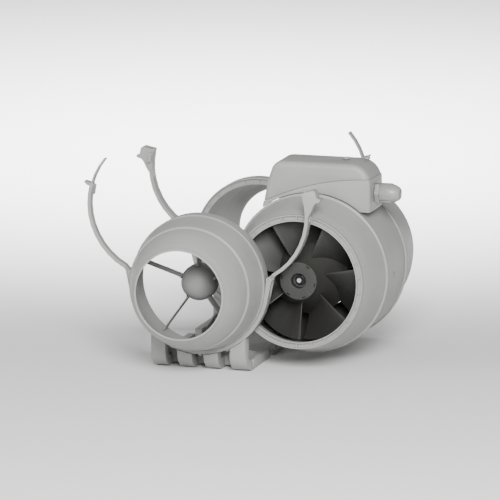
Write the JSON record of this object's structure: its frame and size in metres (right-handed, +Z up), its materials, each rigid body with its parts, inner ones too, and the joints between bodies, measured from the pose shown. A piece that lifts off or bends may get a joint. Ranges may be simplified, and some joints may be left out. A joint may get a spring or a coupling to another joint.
{
  "type": "inline duct fan",
  "caption": "Mixed-flow inline duct fan opened for service: barrel fan unit with terminal box drawn out of a cradle with two duct spigots and hinged clamp arms.",
  "frame": {"origin": "centre of the bracket's flat underside, below the duct axis and midway between the spigots", "axes": "+Y along the duct towards the rear spigot, +Z up from the mounting surface, +X to the side that the fan unit is drawn out to"},
  "size_m": [0.3396, 0.383, 0.226],
  "materials": {
    "grey_plastic": "moulded light grey ABS, fine satin grain",
    "dark_plastic": "moulded dark grey glass-filled plastic, semi-matt",
    "black_plastic": "moulded black nylon",
    "gland_plastic": "moulded grey nylon",
    "seal_rubber": "black rubber",
    "bright_steel": "ground bright steel",
    "zinc_steel": "zinc-plated steel",
    "black_steel": "blackened spring steel"
  },
  "bodies": {
    "cradle": {"base_bracket": "grey_plastic", "front_spigot": "grey_plastic", "rear_spigot": "grey_plastic", "flow_straightener": "grey_plastic", "front_lower_collar": "grey_plastic", "rear_lower_collar": "grey_plastic", "front_collar_screw_1": "zinc_steel", "front_collar_screw_2": "zinc_steel", "front_collar_screw_3": "zinc_steel", "rear_collar_screw_1": "zinc_steel", "rear_collar_screw_2": "zinc_steel", "rear_collar_screw_3": "zinc_steel", "front_left_hinge_pin": "bright_steel", "front_right_hinge_pin": "bright_steel", "rear_left_hinge_pin": "bright_steel", "rear_right_hinge_pin": "bright_steel"},
    "front_left_clamp": {"front_left_arm": "grey_plastic"},
    "front_right_clamp": {"front_right_arm": "grey_plastic"},
    "rear_left_clamp": {"rear_left_arm": "grey_plastic"},
    "rear_right_clamp": {"rear_right_arm": "grey_plastic"},
    "fan_unit": {"front_casing": "grey_plastic", "centre_casing": "grey_plastic", "rear_casing": "grey_plastic", "motor_hub": "dark_plastic", "guide_ring": "dark_plastic", "guide_vane_1": "dark_plastic", "guide_vane_2": "dark_plastic", "guide_vane_3": "dark_plastic", "guide_vane_4": "dark_plastic", "guide_vane_5": "dark_plastic", "guide_vane_6": "dark_plastic", "guide_vane_7": "dark_plastic", "guide_vane_8": "dark_plastic", "guide_vane_9": "dark_plastic", "motor_housing": "zinc_steel", "motor_end_cover": "zinc_steel", "front_bearing": "bright_steel", "rear_bearing": "bright_steel", "motor_stator_core": "zinc_steel", "terminal_box": "grey_plastic", "terminal_cover": "grey_plastic", "cover_screw_1": "zinc_steel", "cover_screw_2": "zinc_steel", "terminal_block": "black_plastic", "run_capacitor": "black_plastic", "gland_body": "gland_plastic", "gland_nut": "gland_plastic", "gland_seal": "seal_rubber", "gland_locknut": "gland_plastic"},
    "rotor": {"impeller": "dark_plastic", "motor_shaft": "bright_steel", "shaft_retaining_ring": "black_steel", "motor_rotor": "bright_steel"}
  },
  "joints": [
    {"name": "fan_unit_slide", "type": "slide", "parent": "cradle", "child": "fan_unit", "axis": [-0.9994, 0, -0.0343], "range_m": [0, 0.10506]},
    {"name": "front_left_hinge", "type": "hinge", "parent": "cradle", "child": "front_left_clamp", "pos_m": [-0.0785, -0.1135, 0.103], "axis": [0, 1, 0], "range_deg": [0, 72]},
    {"name": "front_right_hinge", "type": "hinge", "parent": "cradle", "child": "front_right_clamp", "pos_m": [0.0785, -0.1135, 0.103], "axis": [0, -1, 0], "range_deg": [0, 69]},
    {"name": "rear_left_hinge", "type": "hinge", "parent": "cradle", "child": "rear_left_clamp", "pos_m": [-0.0785, 0.1135, 0.103], "axis": [0, 1, 0], "range_deg": [0, 74]},
    {"name": "rear_right_hinge", "type": "hinge", "parent": "cradle", "child": "rear_right_clamp", "pos_m": [0.0785, 0.1135, 0.103], "axis": [0, -1, 0], "range_deg": [0, 70]},
    {"name": "impeller_spin", "type": "hinge", "parent": "fan_unit", "child": "rotor", "pos_m": [0.105, 0, 0.0996], "axis": [0, 1, 0], "continuous": true}
  ]
}
